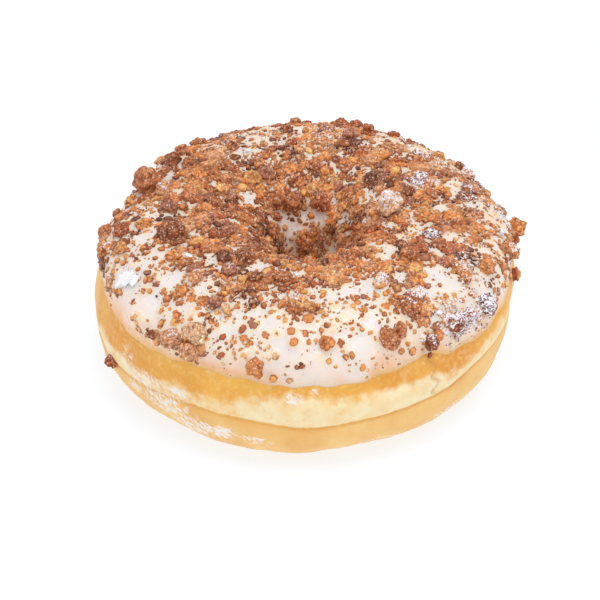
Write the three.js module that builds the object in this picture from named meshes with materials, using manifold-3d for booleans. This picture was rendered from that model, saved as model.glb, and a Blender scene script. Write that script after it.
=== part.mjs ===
// An iced ring doughnut with a crumble topping, at its real size.
//
// The raised dough is one ring with a flat base, a pale proof band round its side and a crease under it.
// White icing lies over the top and runs down into the hole. Crumbs of baked crumble stick in the icing,
// so the icing and its crumbs are one piece; one crumb sticks on the side of the dough.
//
// Millimetres, +Z up. The origin is on the table, under the middle of the part with its crumbs.
// A place on the ring is given by two angles in degrees:
//   bearing  round the ring, 0 at -Y, 90 at +X
//   tilt     round the ring's section, 0 at the outer side, 90 at the crest, 180 at the hole's wall, 270 at the base
import * as THREE from "three";
import { mergeVertices } from "three/addons/utils/BufferGeometryUtils.js";
import Module from "manifold-3d";

const wasm = await Module();
wasm.setup();

// ---- Driving dimensions ----
const RING_DIAMETER = 95; // dough, across its widest
const RING_HEIGHT = 36.5; // dough, table to crest
const HOLE_DIAMETER = 20; // dough, at the narrowest
const CREST_RADIUS = 28.5; // from the middle to the highest line of the ring
const WIDEST_HEIGHT = 17.5; // height of the widest line
const BASE_SINK = 1.2; // how much of the rounded underside is pressed flat
const HOLE_SHIFT = 1.2; // the hole sits this far towards +X
const LEAN = 1.2; // the base sits this far towards -X
const RING_SHIFT = -1; // the ring's middle lies here on X, as one crumb stands out far on the +X side
const SECTION_SQUARENESS = 2.75; // 2 is an ellipse, more is squarer
const TOP_SOFTNESS = 0.25; // the top is rounder than the base by twice this

// the crease between the proof band and the base crust, each [bearing, tilt]
const CREASE = [
  [-180, -8], [-120, -12], [-75, -18], [-60, -18], [-50, -16], [-40, -13], [-30, -10.5], [-15, -10.5],
  [5, -14.5], [20, -12], [40, -9.5], [55, -2], [70, 1.5], [100, 1], [140, -4],
];
const CREASE_DEPTH = 0.7;
const CREASE_WIDTH = 4; // degrees of tilt
const BAND_BULGE = 0.5; // the proof band stands out by this
const BAND_TILT = 14; // above the crease
const BAND_WIDTH = 9; // degrees of tilt
const TUCK = { tilt: -52, width: 22, depth: 0.7 }; // the side tucks in this much above the base
// a dent in the far left shoulder, its widths in degrees
const DENT = { bearing: -109, bearingWidth: 17, tilt: 52, tiltWidth: 24, depth: 2.4 };

const ICING_THICKNESS = 1.2;
const ICING_GAP = 0.3; // clearance between the icing and the dough
const ICING_SUNK = 0.6; // the icing's inner face starts this deep in the dough, before the dough is cut out
// the icing's lower edge on the outer side, each [bearing, tilt]
const ICING_EDGE = [
  [-180, 24], [-150, 27], [-120, 23], [-90, 25], [-75, 24], [-60, 18.5], [-45, 18], [-30, 21.5], [0, 20.5],
  [16, 20], [24, 23], [33, 25], [42, 20], [53, 17.5], [70, 21], [90, 25], [120, 23], [150, 25],
];
const ICING_HOLE_TILT = 205; // its edge inside the hole
const ICING_EDGE_SHARE = 0.35; // thickness left at the edges
const ICING_ROUNDING = 0.1; // share of the icing's width over which the edge rounds off

const COLUMNS = 56; // facets round the ring
const DOUGH_ROWS = 30; // facets round the dough's section
const ICING_ROWS = 16; // facets across the icing's outer face
const ICING_INNER_ROWS = 8; // and across its inner face
const CREASE_CROWDING = 0.08; // draws the dough's rows together at the crease

const COLOURS = { dough: 0xf0bd74, icing: 0xece3dc };

const DEG = Math.PI / 180;
const UP = new THREE.Vector3(0, 0, 1);
const fraction = (x) => x - Math.floor(x);
const clamp = THREE.MathUtils.clamp;
const bell = (x, width) => Math.exp(-((x / width) ** 2));
const halfTurn = (angle) => THREE.MathUtils.euclideanModulo(angle + 180, 360) - 180; // from -180 to 180
const between = ([low, high], share) => low + (high - low) * share;

// ---- The ring's surface ----

// The tilt of a line that runs round the ring, straight from each of its points to the next.
function tiltAlong(points, bearing) {
  const turned = THREE.MathUtils.euclideanModulo(bearing + 180, 360) - 180;
  const before = points.findLastIndex(([at]) => at <= turned);
  const [b0, t0] = points[before];
  const [b1, t1] = points[(before + 1) % points.length];
  const width = THREE.MathUtils.euclideanModulo(b1 - b0, 360);
  return between([t0, t1], THREE.MathUtils.euclideanModulo(turned - b0, 360) / width);
}

// How far the skin stands out of the smooth ring: the proof band bulges, the crease pinches in, the side
// tucks in above the base, and the shoulder is dented at one place.
function skinRelief(bearing, tilt) {
  const aboveCrease = halfTurn(tilt - tiltAlong(CREASE, bearing));
  const band = BAND_BULGE * bell(aboveCrease - BAND_TILT, BAND_WIDTH);
  const crease = CREASE_DEPTH * bell(aboveCrease, CREASE_WIDTH);
  const tuck = TUCK.depth * bell(halfTurn(tilt - TUCK.tilt), TUCK.width);
  const besideDent = bell(halfTurn(bearing - DENT.bearing), DENT.bearingWidth);
  const dent = DENT.depth * besideDent * bell(halfTurn(tilt - DENT.tilt), DENT.tiltWidth);
  return band - crease - tuck - dent;
}

// A point of the ring's skin, moved out by grow. The section is a rounded square in polar form.
function ringPoint(bearing, tilt, grow) {
  const c = Math.cos(tilt * DEG);
  const s = Math.sin(tilt * DEG);
  const side = Math.sin(bearing * DEG);
  const squareness = SECTION_SQUARENESS - TOP_SOFTNESS * s;
  const reach = (Math.abs(c) ** squareness + Math.abs(s) ** squareness) ** (-1 / squareness);
  const outer = RING_DIAMETER / 2 - CREST_RADIUS;
  const inner = CREST_RADIUS - HOLE_DIAMETER / 2 - HOLE_SHIFT * side;
  const above = RING_HEIGHT - WIDEST_HEIGHT;
  const below = WIDEST_HEIGHT + BASE_SINK;
  const out = grow + skinRelief(bearing, tilt);
  const radius = CREST_RADIUS + ((c >= 0 ? outer : inner) + out) * reach * c;
  const height = WIDEST_HEIGHT + ((s >= 0 ? above : below) + out) * reach * s;
  const lean = LEAN * clamp(1 - height / WIDEST_HEIGHT, 0, 1);
  return new THREE.Vector3(RING_SHIFT + radius * side - lean, -radius * Math.cos(bearing * DEG), height);
}

// The direction that faces straight out of the ring's skin.
function ringNormal(bearing, tilt) {
  const step = 0.5; // degrees to each side
  const across = ringPoint(bearing, tilt + step, 0).sub(ringPoint(bearing, tilt - step, 0));
  const along = ringPoint(bearing + step, tilt, 0).sub(ringPoint(bearing - step, tilt, 0));
  return along.cross(across).normalize();
}

// ---- Solids ----

function solidOf(geometry) {
  const bare = geometry.clone();
  bare.deleteAttribute("normal");
  bare.deleteAttribute("uv");
  const merged = mergeVertices(bare, 1e-4);
  return new wasm.Manifold(
    new wasm.Mesh({
      numProp: 3,
      vertProperties: merged.attributes.position.array,
      triVerts: new Uint32Array(merged.index.array),
    }),
  );
}

function geometryOf(solid) {
  const { vertProperties, triVerts } = solid.getMesh();
  const geometry = new THREE.BufferGeometry();
  geometry.setAttribute("position", new THREE.BufferAttribute(vertProperties, 3));
  geometry.setIndex(new THREE.BufferAttribute(triVerts, 1));
  geometry.computeVertexNormals();
  return geometry;
}

// A closed ring: a torus whose points are put where place(bearing, row) says.
function ringSolid(rows, place) {
  const geometry = new THREE.TorusGeometry(2, 1, rows, COLUMNS);
  const position = geometry.attributes.position;
  for (let row = 0; row <= rows; row++) {
    for (let column = 0; column <= COLUMNS; column++) {
      const bearing = 90 + (360 * (column % COLUMNS)) / COLUMNS;
      const point = place(bearing, row % rows);
      position.setXYZ(row * (COLUMNS + 1) + column, point.x, point.y, point.z);
    }
  }
  return solidOf(geometry);
}

// The dough, or the dough grown by a clearance. Its rows start at the crease and lie closest there.
function doughSolid(grow) {
  return ringSolid(DOUGH_ROWS, (bearing, row) => {
    const share = row / DOUGH_ROWS;
    const turned = share - CREASE_CROWDING * Math.sin(2 * Math.PI * share);
    const point = ringPoint(bearing, tiltAlong(CREASE, bearing) + 360 * turned, grow);
    point.z = Math.max(point.z, -grow);
    return point;
  });
}

// The icing before its crumbs: outer rows out to its full thickness, inner rows sunk in the dough.
function icingShell() {
  const rows = ICING_ROWS + ICING_INNER_ROWS;
  return ringSolid(rows, (bearing, row) => {
    const first = tiltAlong(ICING_EDGE, bearing);
    const width = ICING_HOLE_TILT - first;
    if (row > ICING_ROWS) {
      const back = (rows - row) / ICING_INNER_ROWS;
      return ringPoint(bearing, first + width * back, -ICING_SUNK);
    }
    const share = row / ICING_ROWS;
    const fromEdge = clamp(Math.min(share, 1 - share) / ICING_ROUNDING, 0, 1);
    const round = Math.sqrt(1 - (1 - fromEdge) ** 2);
    const thickness = ICING_THICKNESS * between([ICING_EDGE_SHARE, 1], round);
    return ringPoint(bearing, first + width * share, ICING_GAP + thickness);
  });
}

// ---- Crumbs ----

// The crumbs that stand out, each [bearing, tilt, size] and how far it is raised where it lies on others;
// a big clump is two or three that touch.
const CLUMPS = [
  // left and far left
  [-112, 61, 7.0, 1.7], [-109, 74, 4.2], [-127, 63, 4.2, 0.7], [-138, 49, 3.2], [-142, 57, 4.2],
  [-84, 55, 4.4], [-91, 41, 3.8], [-80, 43, 3.8], [-69, 82, 6.8], [-91, 85, 5.0], [-105, 94, 3.6], [-127, 92, 3.8],
  [-136, 97, 3.6], [-99, 111, 4.0], [-99, 121, 3.6], [-66, 116, 3.8], [-56, 74, 3.9],
  // over the far side and down the hole's far wall
  [-153, 116, 4.2], [-142, 115, 4.0], [-151, 134, 5.0], [-165, 137, 4.8], [-119, 148, 4.2],
  [-178, 160, 4.6], [161, 138, 4.0], [168, 54, 4.2], [163, 54, 4.4], [157, 63, 4.2], [162, 75, 4.0],
  [149, 56, 3.4], [144, 77, 3.4], [132, 112, 4.2],
  // right
  [97, 116, 7.0], [115, 88, 4.2], [70, 125, 4.6], [105, 63, 4.2], [122, 43, 3.8], [98, 30, 5.4],
  [84, 35, 3.8], [70, 86, 4.0], [50, 86, 5.4], [58, 85, 3.2], [66, 48, 3.8], [57, 35, 5.0],
  // front
  [-43, 97, 4.0], [-33, 102, 4.2], [-21, 87, 4.2], [-10, 92, 4.6], [-34, 87, 3.6], [-42, 72, 4.4],
  [-30, 61, 3.4], [-37, 34, 5.4], [-31, 41, 5.2], [-31, 31, 4.6], [-13, 31, 4.2], [6, 45, 3.4],
  [23, 42, 5.0], [27, 45, 3.4], [30, 78, 4.2], [37, 60, 4.4], [33, 55, 4.6], [35, 33, 3.6],
  [44, 37, 4.2], [49, 37, 4.4],
];
const SIDE_CRUMB = [-64, -18, 3.6]; // the one crumb that sticks on the dough

// The rest are spread by even sequences over the far side and the hole's wall.
const SPREAD_CRUMBS = 56;
const SPREAD_SIZES = [2.3, 3.4];
const SPREAD_BEARINGS = [-180, 180];
const SPREAD_TILTS = [30, 186];
const SPREAD_STEPS = { bearing: 0.7548776662466927, tilt: 0.5698402909980532, size: 0.4142135623730951 };
const CHANCE_STEP = 0.6180339887498949;
const CLEAR_SHARE = 0.8; // two crumbs lie at least this share of their mean size apart

const SPREAD_FROM = 25; // they lie above this tilt at the back
const SPREAD_RISE = 80; // and above this much more in front
const SPREAD_BEND = 0.35; // how far round the sides that rise goes on, as a cosine
const SPREAD_FADE = 25; // degrees of tilt from none to all of them

const CRUMB_TURN = 137.5; // degrees that each crumb is turned past the last
const CRUMB_PROUD = 0.12; // share of its size that a crumb's middle lies above the icing
const CRUMB_FLATNESS = [0.72, 0.96]; // height over length
const CRUMB_NARROWNESS = [0.7, 1.0]; // width over length
const FLATNESS_STEP = 0.618;
const NARROWNESS_STEP = 0.414;
const CRUMB_ROUGHNESS = 0.1; // its corners jut out or in by up to twice this share
const CRUMB_WAVES = new THREE.Vector3(3.1, 2.7, 3.7); // of the lumps, for a crumb that is 4 across
const FINE_CRUMB_SIZE = 5; // a crumb from this size on has more facets

// The chance that a spread crumb lies at a place, 0 to 1: the far side and the hole's wall have them.
function coverage(bearing, tilt) {
  const front = Math.max(0, Math.cos(bearing * DEG) + SPREAD_BEND) / (1 + SPREAD_BEND);
  return clamp((tilt - SPREAD_FROM - SPREAD_RISE * front) / SPREAD_FADE, 0, 1);
}

// Crumbs by even sequences over the ring. A place is kept by chance, less often near the hole, where
// the same step of bearing is shorter, and only clear of the crumbs before it.
function spreadCrumbs() {
  const places = CLUMPS.map(([bearing, tilt, size]) => ({ point: ringPoint(bearing, tilt, 0), size }));
  const crumbs = [];
  for (let k = 1; crumbs.length < SPREAD_CRUMBS; k++) {
    const bearing = between(SPREAD_BEARINGS, fraction(SPREAD_STEPS.bearing * k));
    const tilt = between(SPREAD_TILTS, fraction(SPREAD_STEPS.tilt * k));
    const size = between(SPREAD_SIZES, fraction(SPREAD_STEPS.size * k));
    const chance = fraction(CHANCE_STEP * k);
    const point = ringPoint(bearing, tilt, 0);
    const crowding = Math.hypot(point.x - RING_SHIFT, point.y) / (RING_DIAMETER / 2);
    const apart = (other) => point.distanceTo(other.point) > (CLEAR_SHARE * (size + other.size)) / 2;
    if (chance < coverage(bearing, tilt) * crowding && places.every(apart)) {
      places.push({ point, size });
      crumbs.push([bearing, tilt, size]);
    }
  }
  return crumbs;
}

// One crumb: a lumpy stone that lies on its flat side, number giving its turn and its lumps.
function crumbSolid([bearing, tilt, size, raised = 0], number, lift) {
  const geometry = new THREE.IcosahedronGeometry(size / 2, size >= FINE_CRUMB_SIZE ? 1 : 0);
  const position = geometry.attributes.position;
  const flat = between(CRUMB_FLATNESS, fraction(FLATNESS_STEP * number));
  const narrow = between(CRUMB_NARROWNESS, fraction(NARROWNESS_STEP * number));
  const corner = new THREE.Vector3();
  for (let i = 0; i < position.count; i++) {
    corner.fromBufferAttribute(position, i);
    const { x, y, z } = corner.clone().multiplyScalar(4 / size).multiply(CRUMB_WAVES);
    const jut = Math.sin(x + number) * Math.sin(y + 2 * number) + Math.sin(z + number);
    corner.multiplyScalar(1 + CRUMB_ROUGHNESS * jut);
    position.setXYZ(i, corner.x, corner.y * narrow, corner.z * flat);
  }
  const normal = ringNormal(bearing, tilt);
  const turn = new THREE.Quaternion().setFromAxisAngle(UP, number * CRUMB_TURN * DEG);
  const stand = new THREE.Quaternion().setFromUnitVectors(UP, normal);
  const middle = ringPoint(bearing, tilt, lift).addScaledVector(normal, CRUMB_PROUD * size + raised);
  geometry.applyQuaternion(turn).applyQuaternion(stand).translate(middle.x, middle.y, middle.z);
  return solidOf(geometry);
}

// The largest piece of a solid, with no sealed hollow inside it.
function wholePiece(solid) {
  return solid.decompose().reduce((best, piece) => (piece.volume() > best.volume() ? piece : best));
}

function icingWithCrumbs() {
  const crumbs = [...CLUMPS, ...spreadCrumbs()];
  const stuck = crumbs.map((crumb, i) => crumbSolid(crumb, i + 1, ICING_GAP + ICING_THICKNESS));
  const topping = stuck.reduce((all, crumb) => all.add(crumb), icingShell());
  return wholePiece(topping.subtract(doughSolid(ICING_GAP)));
}

function doughWithCrumb() {
  return wholePiece(doughSolid(0).add(crumbSolid(SIDE_CRUMB, 1, 0)));
}

// ---- The pieces ----

function piece(name, solid, colour, roughness) {
  const material = new THREE.MeshStandardMaterial({ color: colour, roughness, metalness: 0 });
  const mesh = new THREE.Mesh(geometryOf(solid), material);
  mesh.name = name;
  return mesh;
}

const doughnut = new THREE.Group();
doughnut.add(piece("dough", doughWithCrumb(), COLOURS.dough, 0.6));
doughnut.add(piece("icing", icingWithCrumbs(), COLOURS.icing, 0.35));

export default doughnut;
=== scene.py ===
"""An iced ring doughnut with a baked crumble topping, built up on its fixed frame.

Metres, +Z up, with the origin on the table under the middle of the part. A place on the ring is given by
two angles in degrees: bearing goes round the ring, 0 at -Y and 90 at +X, and tilt goes round the ring's
section, 0 at the outer side, 90 at the crest, 180 at the hole's wall and 270 at the base.
"""

import bpy
import numpy as np
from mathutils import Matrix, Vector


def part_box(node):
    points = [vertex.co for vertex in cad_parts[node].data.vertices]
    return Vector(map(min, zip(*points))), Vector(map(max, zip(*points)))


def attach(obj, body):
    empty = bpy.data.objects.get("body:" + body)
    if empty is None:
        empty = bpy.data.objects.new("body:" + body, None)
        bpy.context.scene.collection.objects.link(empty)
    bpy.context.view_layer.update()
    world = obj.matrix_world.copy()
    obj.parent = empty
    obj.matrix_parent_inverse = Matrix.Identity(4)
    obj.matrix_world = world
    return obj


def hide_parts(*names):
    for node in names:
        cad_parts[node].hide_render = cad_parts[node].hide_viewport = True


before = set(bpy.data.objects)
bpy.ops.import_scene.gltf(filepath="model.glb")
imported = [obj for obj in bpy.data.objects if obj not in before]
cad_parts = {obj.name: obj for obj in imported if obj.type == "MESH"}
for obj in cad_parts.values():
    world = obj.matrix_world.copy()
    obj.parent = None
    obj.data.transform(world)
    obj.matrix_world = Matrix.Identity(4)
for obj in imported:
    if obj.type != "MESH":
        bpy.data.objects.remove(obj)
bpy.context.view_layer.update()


# ---- Dough ----
# One ring of raised dough, fried floating on each side in turn. Each face browns, and between them a
# pale proof band stays round the side, with a crease under it. The base settles flat on the table.
RING_RADIUS = 0.0475
RING_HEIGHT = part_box("dough")[1].z
RING_SHIFT = -0.001
HOLE_RADIUS = 0.010
CREST_RADIUS = 0.0285
WIDEST_HEIGHT = 0.0175
BASE_SINK = 0.0012
HOLE_SHIFT = 0.0012
LEAN = 0.0012
SQUARENESS = 2.75
TOP_SOFTNESS = 0.25

# bearing and tilt of points on the crease, and on the line where the pale band turns golden
CREASE = (
    (-180, -8), (-120, -12), (-75, -18), (-60, -18), (-50, -16), (-40, -13), (-30, -10.5), (-15, -10.5),
    (5, -14.5), (20, -12), (40, -9.5), (55, -2), (70, 1.5), (100, 1), (140, -4),
)
GOLD_LINE = (
    (-180, 8), (-120, 2), (-75, -4), (-58, -4), (-46, -2), (-34, 1), (-22, 4), (-10, 11), (2, 14), (14, 8),
    (26, 9), (36, 11), (44, 3), (54, 12), (70, 12), (100, 11), (140, 10),
)
CREASE_DEPTH = 0.0004
CREASE_WIDTH = 3.4
BAND_BULGE = 0.0005
BAND_TILT = 14
BAND_WIDTH = 9
BAND_LIP_BULGE, BAND_LIP_TILT, BAND_LIP_WIDTH = 0.00015, 4, 2
CRACK_BEARING, CRACK_WIDTH, CRACK_DEPTH = 37, 0.5, 0.0005
TUCK_TILT, TUCK_WIDTH, TUCK_DEPTH = -52, 22, 0.0007
# bearing, its width, tilt, its width and depth
DENT = (-109, 17, 52, 24, 0.0024)
HOLLOW = (-40, 20, -40, 15, 0.0004)
# height, wavelength and seed of the dough's slow ripples, and of its fine ones
DOUGH_RIPPLES = ((0.00022, 0.03, 1), (0.00009, 0.011, 2))
FINE_RIPPLES = ((0.00003, 0.0035, 3),)
# how far below and above the golden line, in degrees of tilt, the band turns from pale to gold
PALE_TO_GOLD = (-7.5, 6.5)
# bearing, width and strength of the places where the dough is deepest gold
DEEP_GOLD = ((44, 10, 0.9), (-58, 16, 0.6), (25, 8, 0.3))

DOUGH_COLUMNS, DOUGH_ROWS = 440, 220
# the share of the rows by which each tilt is reached, as most are needed where the side shows
ROW_TILTS = ((0, -75), (0.62, 45), (0.75, 180), (1, 285))


def bell(x, width):
    """1 at x = 0 and falling away on both sides: exp(-(x / width)^2)."""
    return np.exp(-((x / width) ** 2))


def rise(x, start, end):
    """0 before start, 1 after end and the smooth step 3s^2 - 2s^3 between them."""
    s = np.clip((x - start) / (end - start), 0, 1)
    return s * s * (3 - 2 * s)


def ripple(points, wavelength, seed):
    """Smooth uneven noise about 0, mostly within 1: the scaled sum of 16 sines along random directions,
    each wavelength within a third of the one given."""
    rng = np.random.default_rng(seed)
    direction = rng.normal(size=(16, 3))
    direction /= np.linalg.norm(direction, axis=1, keepdims=True)
    waves = direction * (2 * np.pi / (wavelength * rng.uniform(0.7, 1.35, (16, 1))))
    return np.sin(points @ waves.T + rng.uniform(0, 2 * np.pi, 16)).sum(-1) / np.sqrt(8)


def ripples(points, kinds):
    """The sum of several ripples, each with its height, wavelength and seed."""
    return sum(height * ripple(points, wavelength, seed) for height, wavelength, seed in kinds)


def half_turn(angle):
    """The same angle, from -180 to 180 degrees."""
    return (angle + 180) % 360 - 180


def spot(bearing, tilt, middle_bearing, bearing_width, middle_tilt, tilt_width, strength):
    """A soft spot on the ring: its strength times a bell curve across the bearing and one across the tilt."""
    beside = bell(half_turn(bearing - middle_bearing), bearing_width)
    return strength * beside * bell(half_turn(tilt - middle_tilt), tilt_width)


def line_round(bearing, line, softness):
    """The tilt of a line round the ring: points read off, joined by straight lines and softened by
    a bell curve a few degrees wide."""
    degrees = np.arange(-180, 180)
    read = np.interp(degrees, *zip(*line), period=360)
    shifts = np.arange(-20, 21)
    weights = bell(shifts, softness)
    soft = sum(w * np.roll(read, s) for w, s in zip(weights, shifts)) / weights.sum()
    return np.interp(bearing, degrees, soft, period=360)


def ring_point(bearing, tilt, out):
    """Points of the ring moved out by out. The section is a rounded square in polar form, its reach at a
    tilt (|cos|^n + |sin|^n)^(-1/n), stretched to the ring's outer, inner, upper and lower halves."""
    c, s = np.cos(np.radians(tilt)), np.sin(np.radians(tilt))
    side = np.sin(np.radians(bearing))
    n = SQUARENESS - TOP_SOFTNESS * s
    reach = (np.abs(c) ** n + np.abs(s) ** n) ** (-1 / n)
    inner = CREST_RADIUS - HOLE_RADIUS - HOLE_SHIFT * side
    half_width = np.where(c >= 0, RING_RADIUS - CREST_RADIUS, inner) + out
    half_height = np.where(s >= 0, RING_HEIGHT - WIDEST_HEIGHT, WIDEST_HEIGHT + BASE_SINK) + out
    radius = CREST_RADIUS + half_width * reach * c
    height = WIDEST_HEIGHT + half_height * reach * s
    lean = LEAN * np.clip(1 - height / WIDEST_HEIGHT, 0, 1)
    return np.stack([RING_SHIFT + radius * side - lean, -radius * np.cos(np.radians(bearing)), height], -1)


def above_crease(bearing, tilt):
    """Degrees of tilt above the crease."""
    return half_turn(tilt - line_round(bearing, CREASE, 4))


def crack(bearing, tilt):
    """The crack in the band, 1 along a slightly bent line of one bearing: a bell across it, which fades
    out at the crease and at the icing."""
    above = above_crease(bearing, tilt)
    line = CRACK_BEARING + 0.9 * np.sin(0.5 * tilt) - 0.04 * above
    return bell(bearing - line, CRACK_WIDTH) * rise(above, 1, 5) * (1 - rise(above, 32, 40))


def skin(bearing, tilt):
    """How far the dough's skin stands out of the smooth ring: bell curves across the tilt for the band,
    its lower lip and the crease, a notch for the crack, the tuck above the base, a hollow low on the
    left, the dent in the far left shoulder, and slow ripples."""
    above = above_crease(bearing, tilt)
    band = BAND_BULGE * bell(above - BAND_TILT, BAND_WIDTH)
    band = band + BAND_LIP_BULGE * bell(above - BAND_LIP_TILT, BAND_LIP_WIDTH)
    crease = CREASE_DEPTH * bell(above, CREASE_WIDTH) + CRACK_DEPTH * crack(bearing, tilt)
    tuck = TUCK_DEPTH * bell(half_turn(tilt - TUCK_TILT), TUCK_WIDTH)
    sunk = spot(bearing, tilt, *HOLLOW) + spot(bearing, tilt, *DENT)
    return band - crease - tuck - sunk + ripples(ring_point(bearing, tilt, 0), DOUGH_RIPPLES)


def ring_faces(rows, columns):
    """Quads of a grid that closes both ways: row r, column c to row r + 1, column c + 1."""
    corner = np.arange(rows * columns).reshape(rows, columns)
    right, up = np.roll(corner, -1, 1), np.roll(corner, -1, 0)
    return np.stack([corner, right, np.roll(right, -1, 0), up], -1).reshape(-1, 4)


def make_piece(name, points, faces, material, **attributes):
    """A smooth mesh object at the origin from whole arrays: points, a list of face arrays, and a number
    or an RGB colour for each point under each attribute's name."""
    mesh = bpy.data.meshes.new(name)
    mesh.from_pydata(points.reshape(-1, 3).tolist(), [], [f for array in faces for f in array.tolist()])
    mesh.polygons.foreach_set("use_smooth", np.full(len(mesh.polygons), True))
    for key, values in attributes.items():
        kind, field = "FLOAT", "value"
        if values.size == 3 * len(mesh.vertices):
            kind, field = "FLOAT_COLOR", "color"
            values = np.insert(values.reshape(-1, 3), 3, 1, axis=1)
        attribute = mesh.attributes.new(key, kind, "POINT")
        attribute.data.foreach_set(field, values.astype(np.float32).ravel())
    mesh.materials.append(material)
    piece = bpy.data.objects.new(name, mesh)
    bpy.context.scene.collection.objects.link(piece)
    return piece


class Finish:
    """The finish of a food: its material, its shader and the nodes that colour it. Soft is the share of
    light that goes in and comes out again within soft_depth."""

    def __init__(self, name, roughness, soft, soft_depth):
        self.material = bpy.data.materials.new(name)
        self.material.use_nodes = True
        self.tree = self.material.node_tree
        self.shader = self.tree.nodes["Principled BSDF"]
        self.shader.inputs["Roughness"].default_value = roughness
        self.shader.inputs["Subsurface Weight"].default_value = soft
        self.shader.inputs["Subsurface Scale"].default_value = soft_depth
        self.shader.inputs["Subsurface Radius"].default_value = (1.0, 0.55, 0.3)
        self.place = self.node("TexCoord", {}).outputs["Object"]

    def node(self, kind, inputs, **settings):
        """A shader node with its settings and its inputs, each a value or the socket that feeds it."""
        made = self.tree.nodes.new("ShaderNode" + kind)
        for name, value in settings.items():
            setattr(made, name, value)
        for key, value in inputs.items():
            if isinstance(value, bpy.types.NodeSocket):
                self.tree.links.new(value, made.inputs[key])
            else:
                made.inputs[key].default_value = value
        return made

    def attribute(self, name, output="Fac"):
        return self.node("Attribute", {}, attribute_name=name).outputs[output]

    def maths(self, operation, first, second):
        return self.node("Math", {0: first, 1: second}, operation=operation).outputs[0]

    def spread_out(self, value, low, high, to_low=0.0, to_high=1.0):
        """A value's range from low to high spread over to_low to to_high, and clamped there."""
        limits = {"Value": value, "From Min": low, "From Max": high, "To Min": to_low, "To Max": to_high}
        return self.node("MapRange", limits).outputs["Result"]

    def noise(self, scale, low=0.35, high=0.65, to_low=0.0, to_high=1.0, detail=3.0, place=None):
        """Fine procedural noise, its values from low to high spread over to_low to to_high."""
        place = self.place if place is None else place
        grain = self.node("TexNoise", {"Vector": place, "Scale": scale, "Detail": detail})
        return self.spread_out(grain.outputs[0], low, high, to_low, to_high)

    def cells(self, scale):
        """A pattern of cells: three chances for each cell, and the distance from its middle."""
        made = self.node("TexVoronoi", {"Vector": self.place, "Scale": scale})
        return self.node("SeparateColor", {0: made.outputs["Color"]}).outputs, made.outputs["Distance"]

    def mix(self, share, under, over):
        """The colour over laid on the colour under by a share. Each is a socket or RGB."""
        under, over = ((*colour, 1) if isinstance(colour, tuple) else colour for colour in (under, over))
        return self.node("Mix", {0: share, 6: under, 7: over}, data_type="RGBA").outputs[2]

    def lay(self, under, over, value, low, high, most=1.0):
        """The colour over laid on the colour under, from none where the value is low to most where high."""
        return self.mix(self.spread_out(value, low, high, to_high=most), under, over)

    def own_tone(self, shades):
        """The tone that each point has as an attribute, times shades."""
        tone = {0: self.attribute("tone", "Color"), "Scale": shades}
        return self.node("VectorMath", tone, operation="SCALE").outputs[0]

    def coat(self, colour, bumps=None, strength=0.0, depth=0.0):
        """Joins the colour, and the bumps of a height field, to the shader."""
        self.tree.links.new(colour, self.shader.inputs["Base Color"])
        if bumps is not None:
            bump = self.node("Bump", {"Height": bumps, "Strength": strength, "Distance": depth})
            self.tree.links.new(bump.outputs["Normal"], self.shader.inputs["Normal"])


def grid_round(columns, rows):
    """A grid round the ring: its columns' bearings and its rows' values, each as an array of the grid."""
    return np.meshgrid(np.linspace(-180, 180, columns, endpoint=False), rows)


row_tilts = np.interp(np.arange(DOUGH_ROWS) / DOUGH_ROWS, *zip(*ROW_TILTS))
dough_bearing, dough_tilt = grid_round(DOUGH_COLUMNS, row_tilts)
dough_out = skin(dough_bearing, dough_tilt)
dough_points = ring_point(dough_bearing, dough_tilt, dough_out)
dough_out = dough_out + ripples(dough_points, FINE_RIPPLES)
dough_points = ring_point(dough_bearing, dough_tilt, dough_out)
dough_points[..., 2] = np.maximum(dough_points[..., 2], 0)

# How brown each place is: pale between the crease and the golden line, less so on the left and behind,
# and tan under the crease. A darker line along the crease and the crack is partly the dough's own
# browner colour there and partly painted shade in their grooves.
above = above_crease(dough_bearing, dough_tilt)
gold_line = line_round(dough_bearing, GOLD_LINE, 3) + 1.6 * ripple(dough_points, 0.012, 4)
pale = rise(above, 0.2, 2.5) * (1 - rise(dough_tilt - gold_line, *PALE_TO_GOLD))
pale = pale * (1 - 0.35 * bell(dough_bearing + 38, 16)) * (1 - 0.5 * rise(np.abs(dough_bearing), 70, 110))
deep = sum(strength * bell(dough_bearing - middle, width) for middle, width, strength in DEEP_GOLD)
under = 1 - rise(above, -2.5, 0.5)
edge_line = np.maximum(bell(above + 0.3, 1.1), 2.2 * crack(dough_bearing, dough_tilt))

# Flour from the board: rubbed patches with streaks that run down to the right, most on the left side.
# The two long bands low down, at tilts -38 and -42, are painted light along the bottom edge, bounced
# up from the floor and drawn with the same streaks. Each patch has a bearing, its width, a tilt, its
# width and a strength.
FLOUR_AND_EDGE_LIGHT = (
    (-50, 9, -10, 10, 0.9), (-40, 9, -19, 9, 1.3), (-31, 7, -28, 9, 1.3), (-37, 4, -8, 5, 0.8),
    (-22.5, 3, -28, 5, 2.4), (-22, 1.8, -25, 4, 4), (-27, 2, -24, 3, 2.5), (-35, 3, -3, 4, 1.8),
    (-12, 5, -28, 3, 0.8), (-55, 4, 2, 8, 0.7), (-30, 14, -42, 4, 0.8), (-3, 2.2, 11, 4, 1.6),
    (48, 12, -34, 6, 0.9), (32, 4, 9, 4, 0.6), (36, 2.5, 2, 3, 0.8), (20, 20, -38, 3, 0.7),
    (-45, 6, -4, 4, 0.9), (-52, 5, -22, 5, 1), (-21, 3, -24, 4, 1.6), (-13, 3.5, -25, 2, 1.5),
    (3, 2, 16, 3, 0.8),
)
flour = np.max([spot(dough_bearing, dough_tilt, *patch) for patch in FLOUR_AND_EDGE_LIGHT], axis=0)
along, across = 0.8 * dough_bearing, 0.34 * dough_tilt
streak = np.stack([0.45 * (0.8 * along - 0.6 * across), 0.6 * along + 0.8 * across, 0 * along], -1)

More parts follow.
